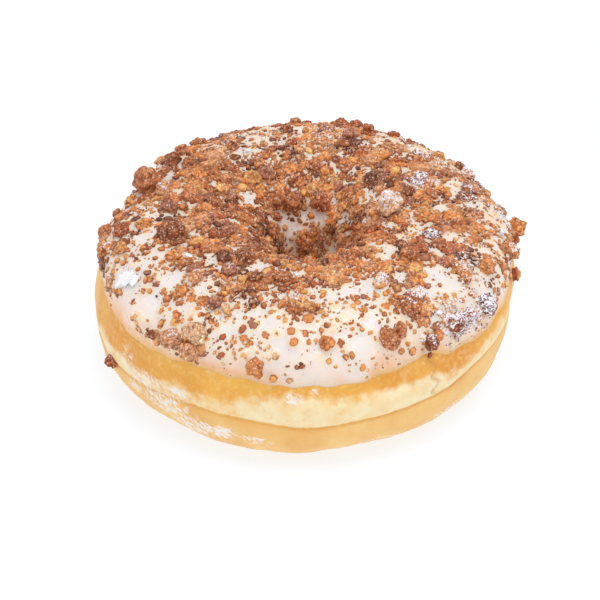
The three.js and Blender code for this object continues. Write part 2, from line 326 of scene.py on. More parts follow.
crust = Finish("dough", 0.5, 0.3, 0.002)
gold = crust.mix(crust.noise(110), (0.82, 0.365, 0.04), (0.93, 0.50, 0.08))
gold = crust.mix(crust.attribute("deep"), gold, (0.76, 0.28, 0.025))
gold = crust.mix(crust.noise(900, 0.5, 0.75, to_high=0.5), gold, (0.97, 0.65, 0.20))
band_pale = crust.mix(crust.noise(260), (0.96, 0.68, 0.33), (0.98, 0.81, 0.51))
tan = crust.mix(crust.noise(120), (0.87, 0.475, 0.135), (0.94, 0.60, 0.21))
ragged = crust.maths("ADD", crust.attribute("pale"), crust.noise(420, to_low=-0.28, to_high=0.28, detail=6))
colour = crust.lay(gold, band_pale, ragged, 0.12, 0.88)
colour = crust.mix(crust.attribute("under"), colour, tan)
# Painted shade in the crease and the crack, over the dough's browner colour there.
colour = crust.mix(crust.maths("MULTIPLY", crust.attribute("edge_line"), 0.3), colour, (0.74, 0.36, 0.09))
# Near white over the dough: flour, and along the bottom edge painted light bounced from the floor.
dusted_and_edge_lit = crust.noise(1.7, 0.42, 0.62, to_low=0.12, detail=8, place=crust.attribute("streak", "Color"))
dusted_and_edge_lit = crust.maths("MULTIPLY", dusted_and_edge_lit, crust.attribute("flour"))
colour = crust.lay(colour, (0.95, 0.90, 0.86), dusted_and_edge_lit, 0.2, 0.7, most=0.85)
crust.coat(colour, crust.noise(1500, detail=4), 0.25, 0.0002)

dough = make_piece(
    "dough_ring", dough_points, [ring_faces(DOUGH_ROWS, DOUGH_COLUMNS)], crust.material,
    pale=pale, deep=deep, under=under, edge_line=edge_line, flour=flour, streak=streak,
)
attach(dough, "root")
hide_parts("dough")


# ---- Icing ----
# White sugar icing, dipped on and let run. It is thick over the top, thins out until the dough shows
# through near its edge, hangs in one thick drip in front, and runs down into the hole.
ICING_DEPTH = 0.0015
ICING_CLIMB = 17
LIP_DEPTH = 0.00014
LIP_WIDTH = 2.2
ICING_SUNK = 0.0002
ICING_BACK = 0.0004
HOLE_EDGE_TILT = 205
# bearing and tilt of points on the icing's lower edge, and on the line up to which dough shows through
ICING_EDGE = (
    (-180, 24), (-150, 27), (-120, 23), (-90, 25), (-75, 24), (-60, 18.5), (-50, 17.5), (-45, 18),
    (-30, 21.5), (-15, 20.5), (5, 18.5), (10, 18.8), (16, 18.5), (22, 21.5), (27, 23.5), (31, 24),
    (33.5, 28), (36, 24), (40, 20.5), (45, 19), (53, 17.5), (62, 19), (70, 21), (90, 24), (120, 23),
    (150, 25),
)
THIN_LINE = (
    (-180, 36), (-150, 36), (-90, 38), (-58, 46), (-46, 43), (-25, 40), (0, 41), (9, 46), (13.5, 28),
    (18, 46), (24, 50), (33, 47), (40, 40), (60, 37), (90, 36), (150, 36),
)
# bearing, its width, tilt, its width and height of the drips
DRIPS = (
    (13.5, 2.8, 32, 9, 0.0009), (-50, 3, 28, 2.5, 0.0002), (51, 4, 26, 3, 0.0003), (29, 2, 31, 5, 0.0003),
)
DRIP_COVERS = 900
THICK_BEARING, THICK_WIDTH, THICK_SHARE = 1, 11, 0.5
ICING_RIPPLES = ((0.00014, 0.012, 11), (0.00005, 0.005, 12))

ICING_COLUMNS, ICING_ROWS, ICING_INNER_ROWS = 600, 148, 14


def icing_edge(bearing):
    """Tilt of the icing's lower edge: the line read off, rippled a little by two sines."""
    small = 0.5 * np.sin(np.radians(23 * bearing + 40)) + 0.6 * np.sin(np.radians(41 * bearing))
    return line_round(bearing, ICING_EDGE, 1.6) + small


def icing_out(bearing, tilt):
    """Where the icing's outer face lies over the smooth ring: a quarter-round lip at each edge, a smooth
    climb to the full depth, bell-shaped drips, and slow ripples."""
    from_edge = np.minimum(tilt - icing_edge(bearing), HOLE_EDGE_TILT - tilt)
    lip = np.sqrt(1 - (1 - np.clip(from_edge / LIP_WIDTH, 0, 1)) ** 2)
    depth = LIP_DEPTH * lip + (ICING_DEPTH - LIP_DEPTH) * rise(from_edge, 0, ICING_CLIMB)
    depth = depth - ICING_SUNK * (1 - lip) + lip * sum(spot(bearing, tilt, *drip) for drip in DRIPS)
    slow = ripples(ring_point(bearing, tilt, 0), ICING_RIPPLES)
    return skin(bearing, tilt) + depth + slow * rise(from_edge, 2, 14)


icing_bearing, icing_share = grid_round(ICING_COLUMNS, np.linspace(0, 1, ICING_ROWS) ** 1.2)
first_tilt = icing_edge(icing_bearing)
icing_tilt = first_tilt + (HOLE_EDGE_TILT - first_tilt) * icing_share
outer_face = ring_point(icing_bearing, icing_tilt, icing_out(icing_bearing, icing_tilt))
inner_rows = np.linspace(ICING_ROWS - 8, 7, ICING_INNER_ROWS).astype(int)
inner_face = ring_point(icing_bearing, icing_tilt, skin(icing_bearing, icing_tilt) - ICING_BACK)[inner_rows]
icing_points = np.concatenate([outer_face, inner_face])

# How thin each place is, from 1 at the edge to 0 at the line, and thicker in front and on the drips.
thin_to = line_round(icing_bearing, THIN_LINE, 2) + 1.5 * ripple(outer_face, 0.009, 13)
thin = 1 - np.clip((icing_tilt - first_tilt - 0.5) / (thin_to - first_tilt), 0, 1)
thin = thin * (1 - THICK_SHARE * bell(icing_bearing - THICK_BEARING, THICK_WIDTH))
for bearing, width, tilt, length, height in DRIPS:
    drip = spot(icing_bearing, icing_tilt, bearing, 1.2 * width, tilt, 1.2 * length, height)
    thin = thin * (1 - DRIP_COVERS * drip)
thin = np.concatenate([thin, thin[inner_rows]])

glaze = Finish("icing", 0.3, 0.5, 0.003)
colour = glaze.mix(glaze.noise(120), (0.82, 0.755, 0.71), (0.87, 0.80, 0.76))
peach = glaze.mix(glaze.noise(200), (0.965, 0.58, 0.36), (0.96, 0.48, 0.225))
colour = glaze.lay(colour, (0.95, 0.765, 0.66), glaze.attribute("thin"), 0.0, 0.35)
colour = glaze.lay(colour, peach, glaze.attribute("thin"), 0.35, 0.8)
colour = glaze.lay(colour, (0.92, 0.47, 0.14), glaze.attribute("thin"), 0.84, 1.0)
stained = glaze.maths("MULTIPLY", glaze.attribute("stain"), glaze.noise(700, to_low=0.6))
colour = glaze.lay(colour, (0.95, 0.77, 0.58), stained, 0.0, 0.5, most=0.8)
colour = glaze.lay(colour, (0.92, 0.57, 0.31), stained, 0.5, 1.0, most=0.8)
glaze.tree.links.new(glaze.noise(300, to_low=0.24, to_high=0.42), glaze.shader.inputs["Roughness"])
glaze.coat(colour, glaze.noise(1100), 0.12, 0.0002)

icing = make_piece(
    "icing_coat", icing_points, [ring_faces(ICING_ROWS + ICING_INNER_ROWS, ICING_COLUMNS)], glaze.material,
    thin=thin, stain=np.zeros(len(thin) * ICING_COLUMNS),
)
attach(icing, "root")
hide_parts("icing")


# ---- Crumble lumps ----
# Baked crumble: flour, butter and sugar rubbed to grains that clump and brown in the oven. The biggest
# clumps stick out of the icing, each a heap of half-millimetre grains, some capped with caked sugar.
TONES = {
    "pale": (0.88, 0.52, 0.30),
    "golden": (0.86, 0.40, 0.13),
    "orange": (0.74, 0.265, 0.075),
    "tan": (0.70, 0.325, 0.15),
    "copper": (0.62, 0.22, 0.08),
    "brown": (0.50, 0.165, 0.056),
    "red": (0.46, 0.115, 0.036),
    "umber": (0.31, 0.09, 0.032),
    "mauve": (0.43, 0.16, 0.09),
    "dark": (0.19, 0.055, 0.026),
}
# no crumb is lighter than this in any colour
LIGHTEST = 0.95
# bearing, tilt, size in millimetres, tone, and the share that sugar covers where there is any
LUMPS = (
    (-112, 61, 7, "brown"), (-109, 74, 4.2, "tan", 0.1), (-127, 63, 4.2, "umber"), (-138, 49, 3.2, "brown"),
    (-142, 57, 4.2, "brown"), (-84, 55, 4.4, "red"), (-91, 41, 3.8, "copper"),
    (-80, 43, 3.8, "orange", 0.1), (-69, 82, 6.8, "umber"), (-91, 85, 5, "mauve"),
    (-105, 94, 3.6, "orange"), (-127, 92, 3.8, "brown"), (-136, 97, 3.6, "brown"), (-99, 111, 4, "brown"),
    (-99, 121, 3.6, "red"), (-66, 116, 3.8, "mauve"), (-56, 74, 3.9, "orange"), (-153, 116, 4.2, "mauve"),
    (-142, 115, 4, "golden"), (-151, 134, 5, "brown"), (-165, 137, 4.8, "brown"), (-119, 148, 4.2, "brown"),
    (-178, 160, 4.6, "orange"), (161, 138, 4, "red"), (168, 54, 4.2, "red"), (163, 54, 4.4, "red"),
    (157, 63, 4.2, "red"), (162, 75, 4, "mauve"), (149, 56, 3.4, "red"), (144, 77, 3.4, "tan"),
    (132, 112, 4.2, "dark"), (97, 116, 7, "pale", 0.3), (115, 88, 4.2, "mauve", 0.8), (70, 125, 4.6, "red"),
    (105, 63, 4.2, "mauve", 0.2), (122, 43, 3.8, "tan", 0.5), (98, 30, 5.4, "orange"),
    (84, 35, 3.8, "orange", 0.3), (70, 86, 4, "dark", 0.6), (50, 86, 5.4, "brown"), (58, 85, 3.2, "red"),
    (66, 48, 3.8, "orange"), (57, 35, 5, "dark", 0.9), (-43, 97, 4, "dark"), (-33, 102, 4.2, "umber"),
    (-21, 87, 4.2, "umber"), (-10, 92, 4.6, "brown"), (-34, 87, 3.6, "mauve", 0.1),
    (-42, 72, 4.4, "tan", 0.1), (-30, 61, 3.4, "mauve"), (-37, 34, 5.4, "tan", 0.2), (-31, 41, 5.2, "pale"),
    (-31, 31, 4.6, "tan"), (-13, 31, 4.2, "orange"), (6, 45, 3.4, "orange"), (23, 42, 5, "copper"),
    (27, 45, 3.4, "copper"), (30, 78, 4.2, "golden", 0.6), (37, 60, 4.4, "tan", 0.5),
    (33, 55, 4.6, "brown", 0.1), (35, 33, 3.6, "umber", 0.25), (44, 37, 4.2, "umber", 0.4),
    (49, 37, 4.4, "mauve", 0.95),
)
# how far the lumps that lie on others are raised, by their number
RAISED = {1: 0.0017, 3: 0.0007, 32: 0.0009}
BIG_LUMP = 0.0044
# rings and spokes of the balls that lumps are made of
BIG_LUMP_GRID, LUMP_GRID = (44, 66), (28, 42)
# how butter that soaks a crumb changes its colour
SOAKED = np.array([0.92, 0.89, 0.7])
# powers of red, green and blue, as light that bounces in a gap between grains comes out redder
REDDER_IN_SHADE = np.array([0.8, 1.1, 1.3])
# powers of red, green and blue for the painted shade round a soaked crumb's rim
REDDER_IN_RIM_SHADE = np.array([0.6, 1.0, 1.3])
GRAIN_SIZE = 0.0006
GRAIN_HEIGHT = 0.0003
LUMP_PROUD = 0.12
GOLDEN_ANGLE = 137.5


def read_rows(rows):
    """Bearings, tilts, sizes in metres, tones and sugar shares of rows of placed crumbs."""
    bearing, tilt, size = np.array([row[:3] for row in rows], float).T
    sugar = [row[4] if len(row) > 4 else 0 for row in rows]
    return bearing, tilt, size / 1000, np.array([row[3] for row in rows]), np.array(sugar, float)


def fraction(x):
    return x - np.floor(x)


def ball(rings, spokes):
    """A unit ball's points, from pole to pole by rings of spokes, and its faces: quads, and triangles at
    the two poles."""
    down = np.linspace(0, np.pi, rings + 2)[1:-1, None]
    turn = np.linspace(0, 2 * np.pi, spokes, endpoint=False)[None]
    belt = [np.sin(down) * np.cos(turn), np.sin(down) * np.sin(turn), np.cos(down) + 0 * turn]
    points = np.concatenate([np.stack(belt, -1).reshape(-1, 3), [[0, 0, 1], [0, 0, -1]]])
    corner = np.arange(rings * spokes).reshape(rings, spokes)
    after = np.roll(corner, -1, 1)
    quads = np.stack([corner[:-1], corner[1:], after[1:], after[:-1]], -1).reshape(-1, 4)
    top = np.stack([np.full(spokes, rings * spokes), corner[0], after[0]], -1)
    bottom = np.stack([np.full(spokes, rings * spokes + 1), after[-1], corner[-1]], -1)
    return points, (quads, np.concatenate([top, bottom]))


def copies(faces, number, points_each):
    """The same arrays of faces for each of a number of copies whose points lie one after the other."""
    first = points_each * np.arange(number)[:, None, None]
    return [(array[None] + first).reshape(-1, array.shape[1]) for array in faces]


def straight_out(bearing, tilt):
    """Unit directions out of the ring: the cross product of small steps along and across it."""
    along = ring_point(bearing + 0.5, tilt, 0) - ring_point(bearing - 0.5, tilt, 0)
    across = ring_point(bearing, tilt + 0.5, 0) - ring_point(bearing, tilt - 0.5, 0)
    normal = np.cross(along, across)
    return normal / np.linalg.norm(normal, axis=-1, keepdims=True)


def stand(shapes, normal, turn):
    """Turns shapes about their own +Z, then by the shortest way from +Z to each normal n: with
    v = z x n, each point p goes to p + v x p + v x (v x p) / (1 + n.z)."""
    c, s = np.cos(turn)[:, None], np.sin(turn)[:, None]
    x, y, z = shapes[..., 0], shapes[..., 1], shapes[..., 2]
    p = np.stack([c * x - s * y, s * x + c * y, z], -1)
    v = np.stack([-normal[:, 1], normal[:, 0], np.zeros(len(normal))], -1)[:, None]
    once = np.cross(v, p)
    return p + once + np.cross(v, once) / (1 + normal[:, None, 2:])


def lumpy(directions, number):
    """Radii of stones with big soft lumps: 1 + 0.12 (sin(6.2x + k) sin(5.4y + 2k) + sin(7.4z + k)), where k
    is the stone's number."""
    x, y, z = directions[None, :, 0], directions[None, :, 1], directions[None, :, 2]
    k = number[:, None]
    return 1 + 0.12 * (np.sin(6.2 * x + k) * np.sin(5.4 * y + 2 * k) + np.sin(7.4 * z + k))


def granular(directions, size, rng):
    """Grains of uneven width stuck to a ball by chance. For each direction: the height of the nearest
    grain, half a dome over its width and half its own step, and that grain's shade."""
    grains = int(3.2 * (size / GRAIN_SIZE) ** 2)
    middles = rng.normal(size=(grains, 3))
    middles /= np.linalg.norm(middles, axis=1, keepdims=True)
    away = np.arccos(np.clip(directions @ middles.T, -1, 1)) / rng.uniform(0.75, 1.25, grains)
    nearest = away.argmin(1)
    dome = np.sqrt(np.clip(1 - (away.min(1) * size / 1.2 / GRAIN_SIZE) ** 2, 0, 1))
    shade = rng.lognormal(0, 0.22, grains) * rng.choice([0.55, 1, 1, 1, 1, 1, 1, 1.45], grains)
    return 0.55 * dome + 0.45 * rng.random(grains)[nearest], shade[nearest]


def painted_rim_shade(directions):
    """Painted light and shade on a soaked crumb, by how much a point of it faces out: lighter on top,
    darker and redder round its rim, from 0.32 to 1.14, to a power for each of red, green and blue."""
    return (0.32 + 0.82 * rise(directions[:, 2:], 0.3, 0.95)) ** REDDER_IN_RIM_SHADE


def make_lumps(name, rows, number, grid, seed, material, seat=ICING_DEPTH, dry=1, lifted=0.0):
    """Lumps of grains that lie on their flat side in the icing. A lump is a ball whose radius is its
    lumps' and its grains' height, flattened and narrowed by its number. Sugar caps it where it faces up.
    A dry one, 1, is grainy and stands proud, and a soaked one, 0, is smooth, sunk and dark at its rim by
    painted shade. Painted shade also darkens each grain the lower it lies, in the gaps between grains."""
    bearing, tilt, size, tones, sugar = rows
    rng = np.random.default_rng(seed)
    directions, faces = ball(*grid)
    heights, shades = (np.array(each) for each in zip(*(granular(directions, s, rng) for s in size)))
    radius = lumpy(directions, number) * size[:, None] / 2
    radius = radius + (0.3 + 0.7 * dry) * GRAIN_HEIGHT * (heights - 0.5)
    narrow = 0.7 + 0.3 * fraction(0.414 * number)
    flat = (0.72 + 0.24 * fraction(0.618 * number)) * (0.8 + 0.2 * dry)
    squeeze = np.stack([np.ones(len(size)), narrow, flat], -1)[:, None]
    normal = straight_out(bearing, tilt)
    turned = stand(directions[None] * radius[..., None] * squeeze, normal, np.radians(GOLDEN_ANGLE * number))
    proud = LUMP_PROUD * (2 * dry - 1) * size + lifted
    middle = ring_point(bearing, tilt, seat + skin(bearing, tilt)) + normal * proud[:, None]
    points = turned + middle[:, None]
    # Painted shade: a grain is darker and redder the lower it lies, in the gaps between grains, times its own
    # random shade.
    grainy = (shades * (0.6 + 0.52 * heights))[..., None] ** ((0.3 + 0.6 * dry) * REDDER_IN_SHADE)
    colour = np.array([TONES[tone] for tone in tones])[:, None] * grainy
    # Painted light on a soaked one's top and painted shade round its rim, with the colour that butter gives
    # it.
    colour = colour * (painted_rim_shade(directions) * SOAKED) ** (1 - dry)
    upright = turned[..., 2] / (size[:, None] / 2) + 0.25 * ripple(points, 0.0018, seed)
    line = (1 - 1.8 * sugar)[:, None]
    cap = 0.62 * rise(upright, line - 0.25, line + 0.35) * (line < 1)
    faces = copies(faces, len(size), len(directions))
    return make_piece(name, points, faces, material, tone=np.clip(colour, 0, LIGHTEST), sugar=cap)


baked = Finish("crumble", 0.5, 0.25, 0.0008)
baked.shader.inputs["Specular IOR Level"].default_value = 0.25
# Each cell is a grain with its own shade; painted shade darkens it towards its edge, where it meets the next,
# and the same field bumps it.
chances, from_middle = baked.cells(2200)
pit_height_and_shade = baked.spread_out(from_middle, 0.2, 0.75, 1.1, 0.75)
colour = baked.own_tone(baked.maths("MULTIPLY", baked.spread_out(chances[0], 0, 1, 0.7, 1.25), pit_height_and_shade))
colour = baked.lay(colour, (0.92, 0.53, 0.29), chances[1], 0.8, 0.99, most=0.4)
colour = baked.lay(colour, (0.33, 0.10, 0.045), chances[2], 0.8, 0.98, most=0.5)
sugar_and_glint_chances = baked.cells(3200)[0]
# Painted glints: small light pinkish specks scattered over the crumble.
colour = baked.lay(colour, (0.97, 0.76, 0.60), sugar_and_glint_chances[1], 0.88, 0.96, most=0.55)
sugar_edge = baked.spread_out(sugar_and_glint_chances[0], 0, 1, -0.5, 0.42)
sugar_edge = baked.maths("ADD", baked.attribute("sugar"), sugar_edge)
sugar_white = baked.mix(baked.noise(2600), (0.78, 0.76, 0.84), (0.95, 0.94, 0.96))
colour = baked.lay(colour, sugar_white, sugar_edge, 0.45, 0.6)
baked.tree.links.new(baked.noise(2500, to_low=0.3, to_high=0.7), baked.shader.inputs["Roughness"])
baked.coat(colour, pit_height_and_shade, 0.4, 0.0003)

lump_rows = read_rows(LUMPS)
lump_bearing, lump_tilt, lump_size = lump_rows[:3]
lump_number = np.arange(1, len(LUMPS) + 1)
lump_raised = np.array([RAISED.get(number, 0.0) for number in lump_number])
big = lump_size >= BIG_LUMP
for name, chosen, grid, seed in (
    ("crumble_lumps_big", big, BIG_LUMP_GRID, 21),
    ("crumble_lumps", ~big, LUMP_GRID, 22),
):
    rows = [column[chosen] for column in lump_rows]
    raised = lump_raised[chosen]
    lumps = make_lumps(name, rows, lump_number[chosen], grid, seed, baked.material, lifted=raised)
    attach(lumps, "root")


# ---- Crumble crumbs ----
# Crumbs of 1 to 4 mm from the same bake. Some are placed as they show, half sunk in the icing; others are
# strewn evenly over the far side and the hole's wall, and one has fallen on the dough's side.

# bearing, tilt, size in millimetres, tone, and the share that sugar covers where there is any
CRUMBS = (
    (-147, 58, 2.6, "umber"), (-170, 54, 3, "tan"), (-150, 70, 2.8, "brown"), (-154, 74, 3, "brown"),
    (-158, 78, 2.4, "brown"), (-94, 51, 2.2, "tan"), (-88, 64, 2.8, "dark"), (-64, 89, 2.6, "umber"),
    (-114, 96, 2.8, "mauve"), (-121, 81, 2.4, "pale"), (-111, 83, 3, "orange"), (-156, 97, 2.2, "orange"),
    (-133, 111, 2, "brown"), (-119, 118, 2.2, "red"), (-80, 72, 3, "golden", 0.1),
    (-65, 56, 2.8, "mauve", 0.3), (-68, 64, 3, "orange"), (-74, 48, 2.4, "orange"), (-80, 48, 2.6, "brown"),
    (-68, 108, 1.8, "golden"), (-60, 105, 1.6, "brown"), (-81, 100, 3.2, "umber"),
    (140, 62, 2.6, "tan", 0.3), (131, 134, 2.8, "mauve", 0.4), (114, 78, 2.6, "brown"),
    (100, 87, 3, "orange"), (80, 52, 2.6, "golden"), (73, 66, 2.8, "mauve"), (82, 22, 3.2, "orange"),
    (75, 91, 2.4, "red"), (58, 79, 1.8, "red"), (146, 88, 2.8, "brown"), (154, 124, 2.8, "golden"),
    (-50, 34, 2.9, "golden"), (-44, 44, 2.5, "orange"), (-45, 52, 2.1, "orange"), (-54, 48, 2, "brown"),
    (-52, 50, 1.7, "golden"), (-64, 37, 2.6, "orange"), (-55, 59, 1.7, "tan"), (-52, 56, 1.9, "mauve", 0.3),
    (-68, 45, 1.7, "brown"), (-36, 76, 2.1, "red"), (-38, 76, 1.3, "orange"), (-34, 62, 2.4, "red"),
    (-38, 58, 2.6, "orange"), (-34, 54, 2.9, "orange"), (-19, 74, 3.2, "brown"), (-25, 78, 3.2, "orange"),
    (-28, 50, 2.2, "orange"), (-38, 42, 2.6, "golden"), (-42, 28, 2.3, "golden"), (-42, 36, 1.7, "golden"),
    (-34, 47, 3, "orange"), (-28, 34, 3.2, "tan"), (-18, 50, 2.8, "red"), (-15, 53, 2.4, "mauve"),
    (-17, 45, 2, "orange"), (-11, 48, 2.5, "copper"), (-8, 50, 1.8, "orange"), (-22, 34, 2.6, "red"),
    (-16, 36, 2.4, "golden"), (-14, 39, 1.6, "orange"), (-12, 27, 2.4, "orange"), (-8, 25, 1.8, "golden"),
    (-10, 36, 1.7, "pale"), (-8, 38, 1.9, "pale"), (-4, 52, 2.4, "orange"), (-3, 46, 2.6, "orange"),
    (1, 60, 3.1, "orange"), (10, 69, 2.9, "golden"), (16, 65, 3, "golden"), (18, 59, 2.3, "red"),
    (22, 62, 1.5, "red"), (26, 60, 2.9, "orange"), (10, 44, 2.8, "red"), (4, 38, 1.5, "orange"),
    (18, 34, 1.2, "golden"), (17, 51, 1.4, "golden"), (46, 52, 2.4, "orange"), (49, 50, 1.9, "golden"),
    (46, 70, 2.3, "golden"), (20, 105, 3.2, "golden"), (38, 35, 2.8, "orange"), (34, 26, 1.3, "red"),
    (68, 34, 2.6, "orange"), (68, 58, 2.6, "golden"), (58, 54, 2.8, "mauve", 0.6), (57, 49, 1.9, "brown"),
    (33, 68, 2, "red"), (24, 67, 1.2, "tan"), (0, 51, 1.7, "orange"), (1, 46, 1.7, "orange"),
    (5, 50, 1.6, "orange"), (46, 32, 2.2, "mauve", 0.5), (44, 44, 1.9, "orange"), (33, 37, 1.6, "pale", 1),
    (26, 34, 1.6, "golden"), (3, 47, 1.5, "golden"), (6, 51, 1.7, "brown"), (-20, 42, 1.3, "golden"),
    (-24, 43, 1.1, "red"), (-10, 42, 1.4, "pale"), (8, 32, 0.9, "golden"), (28, 37, 2.4, "orange"),
    (29, 32, 1.8, "golden"), (14, 56, 2, "red"), (10, 52, 1.2, "red"), (8, 54, 2.2, "golden"),
    (23, 62, 1.6, "mauve"), (13, 48, 1.3, "red"), (19, 48, 1.6, "golden"), (20, 44, 1.6, "orange"),
    (-12, 60, 1.2, "red"), (-16, 55, 2.6, "mauve"), (-27, 46, 2, "orange"), (-27, 40, 1.6, "golden"),
    (-26, 49, 2, "orange"), (-6, 58, 2.2, "golden"), (-2, 66, 2.6, "orange"), (-9, 66, 2.6, "golden"),
    (6, 65, 2, "golden"), (12, 60, 1.8, "golden"), (14, 52, 1.6, "orange"), (8, 58, 1.8, "red"),
    (28, 46, 2.2, "orange"), (28, 50, 2, "brown"), (23, 54, 1.2, "golden"), (11, 57, 1.6, "golden"),
    (13, 55, 1.4, "golden"), (16, 54, 1.2, "red"), (-31, 45, 1.5, "red"), (97, 25, 3, "orange"),
)
SIDE_CRUMB = ((-64, -18, 3.6, "red"),)
CRUMBS_DRY = 0.1
CRUMB_GRID = (20, 30)
SPREAD_CRUMBS = 56
SPREAD_TONES = ("brown", "orange", "red", "golden", "tan", "umber", "brown", "orange", "mauve", "brown")
SPREAD_SUGARED, SPREAD_SUGAR = 0.15, 0.4
SPREAD_FIRST_TILT, SPREAD_TILTS = 30, 156
SPREAD_SMALLEST, SPREAD_MORE = 0.0023, 0.0011
# steps of the sequences that place them: fractional parts that never settle into a pattern
BEARING_STEP, TILT_STEP, SIZE_STEP, KEPT_STEP = (
    0.7548776662466927, 0.5698402909980532, 0.4142135623730951, 0.6180339887498949
)


def girth(point):
    """How far points are from the ring's own axis, as a share of the ring's radius."""
    return np.hypot(point[..., 0] - RING_SHIFT, point[..., 1]) / RING_RADIUS


def evenly_spread(number):
    """Bearings, tilts and sizes by three even sequences. Each place is kept by a fourth, from none low in
    front to all over the far side, and only clear of the lumps and of the crumbs kept before it."""
    taken = list(ring_point(lump_bearing, lump_tilt, -spot(lump_bearing, lump_tilt, *DENT)))
    sizes = list(lump_size)
    kept = []
    k = 0
    while len(kept) < number:
        k += 1
        bearing = 360 * fraction(BEARING_STEP * k) - 180
        tilt = SPREAD_FIRST_TILT + SPREAD_TILTS * fraction(TILT_STEP * k)
        size = SPREAD_SMALLEST + SPREAD_MORE * fraction(SIZE_STEP * k)
        point = ring_point(bearing, tilt, -spot(bearing, tilt, *DENT))
        front = max(0, np.cos(np.radians(bearing)) + 0.35) / 1.35
        wanted = fraction(KEPT_STEP * k) < np.clip((tilt - 25 - 80 * front) / 25, 0, 1) * girth(point)
        clear = np.linalg.norm(np.array(taken) - point, axis=1) > 0.4 * (size + np.array(sizes))
        if wanted and clear.all():
            taken.append(point)
            sizes.append(size)
            kept.append((bearing, tilt, size))
    return np.array(kept).T


soaked = Finish("soaked_crumble", 0.36, 0.35, 0.0005)
colour = soaked.own_tone(soaked.noise(1800, 0.3, 0.7, 0.78, 1.22))
sugar_edge = soaked.maths("ADD", soaked.attribute("sugar"), soaked.noise(1500, 0.3, 0.7, -0.5, 0.5, detail=4))
colour = soaked.lay(colour, (0.92, 0.91, 0.94), sugar_edge, 0.45, 0.6)
soaked.coat(colour, soaked.noise(2000), 0.3, 0.0002)

spread_places = evenly_spread(SPREAD_CRUMBS)
rng = np.random.default_rng(31)
spread_tone = rng.choice(SPREAD_TONES, SPREAD_CRUMBS)
spread_sugar = np.where(rng.random(SPREAD_CRUMBS) < SPREAD_SUGARED, SPREAD_SUGAR, 0.0)
spread = make_lumps(
    "crumble_spread", (*spread_places, spread_tone, spread_sugar), len(LUMPS) + 1 + np.arange(SPREAD_CRUMBS),
    CRUMB_GRID, 32, baked.material,
)
crumb_rows = read_rows(CRUMBS)
crumbs = make_lumps(
    "crumble_crumbs", crumb_rows, np.arange(len(CRUMBS)) + 3, CRUMB_GRID, 33, soaked.material, dry=CRUMBS_DRY
)
side_crumb = make_lumps(
    "crumble_side", read_rows(SIDE_CRUMB), np.array([1]), LUMP_GRID, 34, baked.material, seat=0
)
for piece in (spread, crumbs, side_crumb):
    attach(piece, "root")


# ---- Crumble bed ----
# The finer crumble has caked on the wet icing into a rugged crust, thick over the crest and the far side
# and broken by gaps where the icing shows. Each dome in it is one crumb with its own tone, darkened by
# painted shade towards its edge.

# bearing and tilt of points on the line below which crumble covers less than half of the icing
HALF_COVER = (
    (-180, 46), (-160, 50), (-140, 50), (-110, 50), (-80, 58), (-60, 66), (-40, 60), (-20, 62), (0, 66),
    (20, 70), (40, 64), (60, 50), (90, 40), (120, 38), (150, 42),
)
# bearing, tilt and size in millimetres of the gaps
GAPS = (
    (-151, 90, 3.6), (-153, 84, 2.4), (-124, 124, 3.2), (-130, 118, 2.4), (-150, 147, 2.6), (-158, 154, 3),
    (-167, 162, 2.8), (176, 144, 2.6), (165, 145, 2.6), (156, 147, 2.4), (132, 162, 2.6), (-89, 72, 2.6),
    (-92, 75, 2.4), (-75, 66, 3), (-74, 72, 2.4), (-82, 78, 1.8), (-62, 68, 3.6), (-60, 60, 3.8),
    (-48, 64, 4.2), (-55, 78, 2.4), (-48, 108, 2), (-59, 101, 1.8), (-25, 101, 2.2), (-21, 101, 2.2),
    (-36, 69, 3), (-59, 30, 3.7), (-55, 35, 3.7), (-50, 45, 3.6), (-14, 60, 3.6), (-10, 57, 3),
    (-120, 68, 2.2), (-130, 66, 2.6), (-106, 87, 2.6), (-96, 76, 2.2), (-72, 32, 2), (-66, 96, 1.8),
    (-4, 99, 2.4), (-7, 79, 2.4), (-44, 40, 3.2), (75, 98, 2.8), (66, 102, 3), (51, 111, 2.8),
    (49, 102, 3.2), (43, 99, 2.6), (75, 115, 2.2), (92, 85, 2.6), (72, 74, 3), (50, 66, 4), (52, 58, 3.2),
    (60, 48, 2.6), (60, 42, 2.4), (4, 78, 3.2), (9, 76, 3), (16, 78, 3), (22, 82, 3), (26, 83, 2.6),
    (24, 78, 3), (17, 55, 3.4), (13, 61, 2.8), (26, 48, 2.6), (39, 80, 2.6), (42, 56, 2.8), (73, 52, 2.2),
    (52, 44, 2.4), (126, 90, 2), (70, 35, 2), (24, 66, 2.6), (20, 68, 2.6), (2, 32, 4.5), (30, 34, 3),
    (14, 37, 4), (-24, 28, 3), (108, 72, 2), (-110, 60, 2), (-38, 90, 2.8), (-45, 90, 2), (-174, 152, 3),
)
